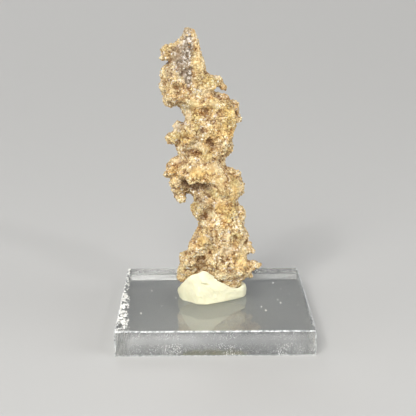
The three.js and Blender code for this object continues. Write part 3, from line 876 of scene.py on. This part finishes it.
# %% Dress the crust and its grains
def dress(piece, material, node=None):
    piece.data.materials.clear()
    piece.data.materials.append(material)
    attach(piece, "root")
    if node:
        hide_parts(node)


dress(crust, crust_material, "fulgurite")
for grains in (beads, coarse_grains, fine_grains):
    dress(grains, grain_material)

# %% [markdown]
# ## The putty
#
# Mounting putty is a soft white gum. It has been pressed round the foot with the fingers, so it has
# broad flat facets, soft ridges between them, one short crease on its front and faint fingerprint
# lines. The copy of its solid is remeshed and smoothed, and Geometry Nodes press the crease in.

# %% Press the putty
PUTTY_FACE = 0.2 * MM
CREASE = (-2.6, -7.6, 14.6, 2.4, 1.6, 0.42)  # a patch, as above
CREASE_DEPTH = 0.6
CREASE_SLOPE = -0.22  # how much the crease falls from left to right
KNEAD_PITCH, KNEAD_DEPTH = 4.2, 0.30
PINCH_PITCH, PINCH_DEPTH = 1.5, 0.08
PUTTY_FOOT, PUTTY_FREE = 8.0, 8.8  # the marks fade in between these heights, above the block


def press_tree():
    tree, start, end = new_geometry_tree("press putty")
    point = add_node(tree, "GeometryNodeInputPosition").outputs[0]
    outward = add_node(tree, "GeometryNodeInputNormal").outputs[0]
    point_mm = scaled(tree, point, 1 / MM)
    across = add_node(tree, "ShaderNodeSeparateXYZ", {0: point_mm})
    along = math_node(tree, "SUBTRACT", across.outputs[0], CREASE[0])
    lifted = math_node(
        tree, "SUBTRACT", across.outputs[2], math_node(tree, "MULTIPLY", along, CREASE_SLOPE))
    levelled = add_node(
        tree, "ShaderNodeCombineXYZ", {0: across.outputs[0], 1: across.outputs[1], 2: lifted})
    crease = patch_mask(tree, levelled.outputs[0], CREASE)
    kneaded = add_node(
        tree, "ShaderNodeTexNoise",
        {"Vector": point, "Scale": 1 / (KNEAD_PITCH * MM), "Detail": 1.0})
    pinched = add_node(
        tree, "ShaderNodeTexNoise",
        {"Vector": point, "Scale": 1 / (PINCH_PITCH * MM), "Detail": 1.0})
    shift = math_node(tree, "MULTIPLY", crease, -CREASE_DEPTH)
    for pressed, depth in ((kneaded, KNEAD_DEPTH), (pinched, PINCH_DEPTH)):
        lump = math_node(tree, "SUBTRACT", pressed.outputs[0], 0.5)
        shift = math_node(tree, "MULTIPLY_ADD", lump, 2 * depth, shift)
    shift = math_node(
        tree, "MULTIPLY", shift, remap(tree, across.outputs[2], PUTTY_FOOT, PUTTY_FREE))
    geometry = keep_attribute(tree, start.outputs[0], "crease", crease)
    moved = add_node(
        tree, "GeometryNodeSetPosition",
        {"Geometry": geometry,
         "Offset": scaled(tree, outward, math_node(tree, "MULTIPLY", shift, MM))})
    tree.links.new(moved.outputs[0], end.inputs[0])
    return tree


putty = copy_solid("mounting_putty", "pressed_putty")
apply_modifier(putty, "REMESH", mode="VOXEL", voxel_size=PUTTY_FACE)
apply_modifier(putty, "SMOOTH", factor=0.5, iterations=8)
apply_modifier(putty, "NODES", node_group=press_tree())
select_only(putty)
bpy.ops.object.shade_smooth()
print("The putty has", count_triangles(putty), "triangles")

# %% Material for the putty
CLEAN_PUTTY, CLOUDY_PUTTY = (0.84, 0.82, 0.595, 1), (0.79, 0.77, 0.54, 1)
CREASE_SHADE = (0.50, 0.44, 0.26, 1)
PRINT_DEPTH = 0.08 * MM

putty_material, tree, shader = new_material("ivory_putty")
point = add_node(tree, "ShaderNodeTexCoord").outputs["Object"]
cloudy = add_node(tree, "ShaderNodeTexNoise", {"Vector": point, "Scale": 0.35 / MM, "Detail": 3.0})
clean = mix_colour(tree, cloudy.outputs[0], CLEAN_PUTTY, CLOUDY_PUTTY)
tree.links.new(
    mix_colour(
        tree, math_node(tree, "MULTIPLY", attribute(tree, "crease"), 0.6), clean, CREASE_SHADE),
    shader.inputs["Base Color"])
turned = add_node(
    tree, "ShaderNodeMapping", {"Vector": point, "Rotation": (0.3, math.radians(35), 0.2)})
ridges = add_node(
    tree, "ShaderNodeTexWave",
    {"Vector": turned.outputs[0], "Scale": 0.32 / MM, "Distortion": 2.5, "Detail": 1.0,
     "Detail Scale": 0.12 / MM})
printed = remap(tree, cloudy.outputs[0], 0.44, 0.56)
pores = add_node(tree, "ShaderNodeTexNoise", {"Vector": point, "Scale": 2.4 / MM, "Detail": 2.0})
tree.links.new(
    remap(tree, cloudy.outputs[0], 0.3, 0.7, 0.45, 0.6), shader.inputs["Roughness"])
skin = add_node(
    tree, "ShaderNodeBump",
    {"Height": math_node(
        tree, "MULTIPLY_ADD", ridges.outputs["Fac"], printed,
        math_node(tree, "MULTIPLY", pores.outputs[0], 0.8)),
     "Strength": 0.8, "Distance": PRINT_DEPTH})
tree.links.new(skin.outputs[0], shader.inputs["Normal"])
shader.inputs["Subsurface Weight"].default_value = 0.3
shader.inputs["Subsurface Radius"].default_value = (1.0, 0.8, 0.5)
shader.inputs["Subsurface Scale"].default_value = 0.8 * MM
dress(putty, putty_material, "mounting_putty")

# %% [markdown]
# ## The acrylic block
#
# The block keeps its solid: a plain square of clear cast acrylic with its edges just broken. Its
# top and underside are as cast and glass smooth. Its four sides were sawn and half polished, so
# they carry upright saw ripples about a millimetre apart, finer tooth marks between them and a
# patchy frost, and what shows through them breaks up into flecks. The marks are a bump that only
# the sides get.

# %% Material for the acrylic
ACRYLIC_IOR = 1.49
SAW_DEPTH = 0.2 * MM

acrylic_material, tree, shader = new_material("clear_acrylic")
shader.inputs["Base Color"].default_value = (0.97, 0.985, 0.98, 1)
shader.inputs["Transmission Weight"].default_value = 1.0
shader.inputs["IOR"].default_value = ACRYLIC_IOR
point = add_node(tree, "ShaderNodeTexCoord").outputs["Object"]
facing = add_node(
    tree, "ShaderNodeSeparateXYZ", {0: add_node(tree, "ShaderNodeNewGeometry").outputs["Normal"]})
sawn = remap(tree, math_node(tree, "ABSOLUTE", facing.outputs[2]), 0.6, 0.3)
flattened = add_node(tree, "ShaderNodeMapping", {"Vector": point, "Scale": (1, 1, 0.12)})
ripple = add_node(
    tree, "ShaderNodeTexNoise",
    {"Vector": flattened.outputs[0], "Scale": 0.9 / MM, "Detail": 2.0})
teeth = add_node(
    tree, "ShaderNodeTexNoise",
    {"Vector": flattened.outputs[0], "Scale": 3.0 / MM, "Detail": 1.0})
frost = add_node(tree, "ShaderNodeTexNoise", {"Vector": point, "Scale": 2.2 / MM, "Detail": 2.0})
marks = weighted_sum(
    tree, (ripple.outputs[0], 0.45), (teeth.outputs[0], 0.3), (frost.outputs[0], 0.2))
saw_marks = add_node(
    tree, "ShaderNodeBump",
    {"Height": math_node(tree, "MULTIPLY", sawn, marks), "Strength": 1.0,
     "Distance": SAW_DEPTH})
tree.links.new(saw_marks.outputs[0], shader.inputs["Normal"])
tree.links.new(
    math_node(tree, "MULTIPLY", sawn, remap(tree, ripple.outputs[0], 0.4, 0.65, 0.02, 0.22)),
    shader.inputs["Roughness"])
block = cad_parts["acrylic_block"]
block.data.materials.clear()
block.data.materials.append(acrylic_material)

# %% [markdown]
# ## Scraped edges, saw flecks and dust
#
# The sharp edges of a sawn block are broken with a scraper, which leaves narrow frosted bands that
# catch the light as white lines. Their white is partly that frost and partly painted highlight, for
# the light that the clear edges catch. A copy of the block gets its upright corners bevelled, loses
# its broad faces, and what is left is a frame of narrow strips, which a Solidify modifier gives the
# least thickness. The saw also leaves white flecks on the sides, the top is scuffed white along its
# left edge, and a few specks of dust and sand have settled on it. Flecks are scattered as the
# grains were, on faces cut small first, because their number is worked out at the corners of
# faces. The dust is laid at listed spots.

# %% Scrape the edges
CORNER_SCRAPE = 0.3 * MM
SCRAPE_SPILL = 0.08 * MM  # how far the frost runs on over the flat faces
FROST_THICKNESS = 0.02 * MM
SQUARE_ON = 0.98  # a face whose normal is this close to an axis is one of the broad ones


def pick_faces(piece, wanted):
    bpy.ops.object.mode_set(mode="EDIT")
    bpy.ops.mesh.select_all(action="DESELECT")
    bpy.ops.mesh.select_mode(type="FACE")
    bpy.ops.object.mode_set(mode="OBJECT")
    for face in piece.data.polygons:
        face.select = wanted(face)
    bpy.ops.object.mode_set(mode="EDIT")


edges = copy_solid("acrylic_block", "scraped_and_highlit_edges")
bpy.ops.object.mode_set(mode="EDIT")
bpy.ops.mesh.select_all(action="DESELECT")
bpy.ops.mesh.select_mode(type="EDGE")
bpy.ops.object.mode_set(mode="OBJECT")
for edge in edges.data.edges:
    first, second = (edges.data.vertices[v].co for v in edge.vertices)
    edge.select = (first - second).xy.length < DOUBLED
bpy.ops.object.mode_set(mode="EDIT")
bpy.ops.mesh.bevel(offset=CORNER_SCRAPE, segments=1, affect="EDGES")
bpy.ops.object.mode_set(mode="OBJECT")
pick_faces(edges, lambda face: max(abs(c) for c in face.normal) > SQUARE_ON)
bpy.ops.mesh.inset(thickness=SCRAPE_SPILL, depth=0)
bpy.ops.mesh.delete(type="FACE")
bpy.ops.object.mode_set(mode="OBJECT")
apply_modifier(edges, "SOLIDIFY", thickness=FROST_THICKNESS, offset=1.0)
bpy.ops.object.mode_set(mode="EDIT")
bpy.ops.mesh.select_all(action="SELECT")
bpy.ops.mesh.remove_doubles(threshold=DOUBLED)
bpy.ops.mesh.dissolve_degenerate(threshold=DOUBLED)
bpy.ops.object.mode_set(mode="OBJECT")
print("The scraped edges have", count_triangles(edges), "triangles")

# The white of the scraped edges is partly frost and partly painted highlight.
edge_material, tree, shader = new_material("scraped_acrylic_highlit")
point = add_node(tree, "ShaderNodeTexCoord").outputs["Object"]
scrape = add_node(tree, "ShaderNodeTexNoise", {"Vector": point, "Scale": 1.1 / MM, "Detail": 3.0})
tree.links.new(
    colour_ramp(tree, scrape.outputs[0], [
        (0.35, (0.50, 0.52, 0.53, 1)),
        (0.6, (0.93, 0.95, 0.95, 1)),
    ]), shader.inputs["Base Color"])
tree.links.new(
    remap(tree, scrape.outputs[0], 0.3, 0.7, 0.35, 0.6), shader.inputs["Roughness"])
tree.links.new(
    remap(tree, scrape.outputs[0], 0.35, 0.6, 0.4, 0.75), shader.inputs["Alpha"])
dress(edges, edge_material)

# %% Scatter the saw flecks
BLOCK_LOW, BLOCK_HIGH = (Vector(corner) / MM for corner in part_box("acrylic_block"))
SAW_LINE = 4.6  # the height of the clean line where the saw's two cuts met, in millimetres
SCUFF_LEAST, SCUFF_MOST = 0.8, 4.4  # how far scuffs reach in from the left edge, back and front
SIDE_FLECKS, ROUGH_FLECKS, SCUFF_FLECKS = 7.5, 3.0, 18.0  # on a square millimetre
FLECK_LEAST, FLECK_MOST = 0.03, 0.10  # radii, in millimetres
FLECK_SHAPE = (1.0, 1.0, 1.6)
SMALL_CUTS = 6  # how often each face is halved before flecks are scattered on it


def fleck_tree():
    tree, start, end = new_geometry_tree("scatter flecks")

    def mix_number(factor, first, second):
        return add_node(
            tree, "ShaderNodeMix", {0: factor, 2: first, 3: second}, data_type="FLOAT").outputs[0]

    def times(*values):
        return math_node(tree, "MULTIPLY", *values)

    point = add_node(tree, "GeometryNodeInputPosition").outputs[0]
    streaky = add_node(
        tree, "ShaderNodeTexNoise",
        {"Vector": vector_node(tree, "MULTIPLY", point, (1, 1, 0.35)), "Scale": 0.25 / MM,
         "Detail": 3.0})
    place = add_node(tree, "ShaderNodeSeparateXYZ", {0: scaled(tree, point, 1 / MM)})
    x, y, z = place.outputs
    rough_side = remap(tree, x, BLOCK_LOW.x + 1.0, BLOCK_LOW.x + 0.1)
    on_top = remap(tree, z, BLOCK_HIGH.z - 0.2, BLOCK_HIGH.z - 0.05)
    reach = remap(tree, y, BLOCK_HIGH.y, BLOCK_LOW.y, SCUFF_LEAST, SCUFF_MOST)
    inside = math_node(tree, "DIVIDE", math_node(tree, "SUBTRACT", x, BLOCK_LOW.x), reach)
    scuffed = remap(tree, inside, 1.0, 0.3)
    on_side = math_node(tree, "MULTIPLY_ADD", rough_side, ROUGH_FLECKS, SIDE_FLECKS)
    density = mix_number(on_top, on_side, times(scuffed, SCUFF_FLECKS))
    finer = add_node(
        tree, "GeometryNodeSubdivideMesh", {"Mesh": start.outputs[0], "Level": SMALL_CUTS})
    spots = add_node(
        tree, "GeometryNodeDistributePointsOnFaces",
        {"Mesh": finer.outputs[0], "Seed": 4, "Density": times(density, 1 / MM ** 2)},
        distribute_method="RANDOM")
    thick = remap(tree, streaky.outputs[0], 0.38, 0.62, 0.45, 1.05)
    chips = add_node(tree, "ShaderNodeTexNoise", {"Vector": point, "Scale": 0.7 / MM, "Detail": 2.0})
    rougher = math_node(tree, "MULTIPLY_ADD", rough_side, 0.6, 1.0)
    thick = mix_number(
        on_top, times(thick, rougher), remap(tree, chips.outputs[0], 0.46, 0.54, 0.1, 3.4))
    from_line = math_node(tree, "SUBTRACT", z, SAW_LINE)
    by_height = remap(tree, from_line, 1.0, -1.0, 0.75, 1.1)
    off_line = remap(tree, math_node(tree, "ABSOLUTE", from_line), 0.2, 0.9, 0.25, 1.0)
    thick = times(thick, times(by_height, off_line))
    size = add_node(
        tree, "FunctionNodeRandomValue", {2: FLECK_LEAST * MM, 3: FLECK_MOST * MM, "Seed": 2},
        data_type="FLOAT").outputs[1]
    chip = add_node(
        tree, "GeometryNodeMeshUVSphere", {"Segments": 4, "Rings": 2, "Radius": 1.0}).outputs[0]
    flecks = add_node(
        tree, "GeometryNodeInstanceOnPoints",
        {"Points": spots.outputs["Points"], "Instance": chip,
         "Scale": scaled(tree, FLECK_SHAPE, times(size, thick))}).outputs[0]
    flecks = add_node(tree, "GeometryNodeRealizeInstances", {"Geometry": flecks}).outputs[0]
    tree.links.new(flecks, end.inputs[0])
    return tree


flecks = copy_solid("acrylic_block", "saw_flecks")
pick_faces(flecks, lambda face: face.normal.z < -0.2 or 0.2 < face.normal.z < SQUARE_ON)
bpy.ops.mesh.delete(type="FACE")
bpy.ops.object.mode_set(mode="OBJECT")
apply_modifier(flecks, "NODES", node_group=fleck_tree())
print("The saw flecks have", count_triangles(flecks), "triangles")

# %% Lay the dust
DUST_SPOTS = [
    (-16.6, -8.4), (-12.3, -1.0), (20.1, 13.4), (22.2, 7.2), (20.5, -3.4), (21.1, -6.3),
    (26.5, -8.2), (14.8, -9.8), (16.0, -13.0), (24.6, 2.2), (-20.4, 6.0), (-22.8, -15.2),
]

bpy.ops.object.select_all(action="DESELECT")
dust_grains = []
for step, (x, y) in enumerate(DUST_SPOTS):
    radius = (0.16 + 0.06 * (step % 3)) * MM
    bpy.ops.mesh.primitive_ico_sphere_add(
        subdivisions=1, radius=radius,
        location=(x * MM, y * MM, BLOCK_HIGH.z * MM + 0.5 * radius),
        rotation=(step, 2 * step, 0), scale=(1.0, 0.7 + 0.1 * (step % 4), 0.6))
    dust_grains.append(bpy.context.object)
for grain in dust_grains:
    grain.select_set(True)
bpy.ops.object.join()
dust = bpy.context.object
dust.name = dust.data.name = "settled_dust"
bpy.ops.object.transform_apply(location=True, rotation=True, scale=True)
print("The dust has", len(DUST_SPOTS), "specks")

fleck_material, tree, shader = new_material("white_flecks")
point = add_node(tree, "ShaderNodeTexCoord").outputs["Object"]
speckle = add_node(tree, "ShaderNodeTexNoise", {"Vector": point, "Scale": 1.5 / MM, "Detail": 1.0})
tree.links.new(
    colour_ramp(tree, speckle.outputs[0], [
        (0.35, (0.72, 0.71, 0.66, 1)),
        (0.6, (0.97, 0.97, 0.95, 1)),
    ]), shader.inputs["Base Color"])
tree.links.new(
    remap(tree, speckle.outputs[0], 0.3, 0.7, 0.4, 0.7), shader.inputs["Roughness"])
dress(flecks, fleck_material)
dress(dust, fleck_material)

# %% [markdown]
# ## Measure and finish
#
# Both boxes, of the solids and of the dressed part, are printed side by side. The dressed
# part may not outgrow its solids.

# %% Measure and finish
dressed_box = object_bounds()
for label, (low, high) in (("Solids", solids_box), ("Dressed", dressed_box)):
    print(label, [round(c / MM, 2) for c in low], [round(c / MM, 2) for c in high])
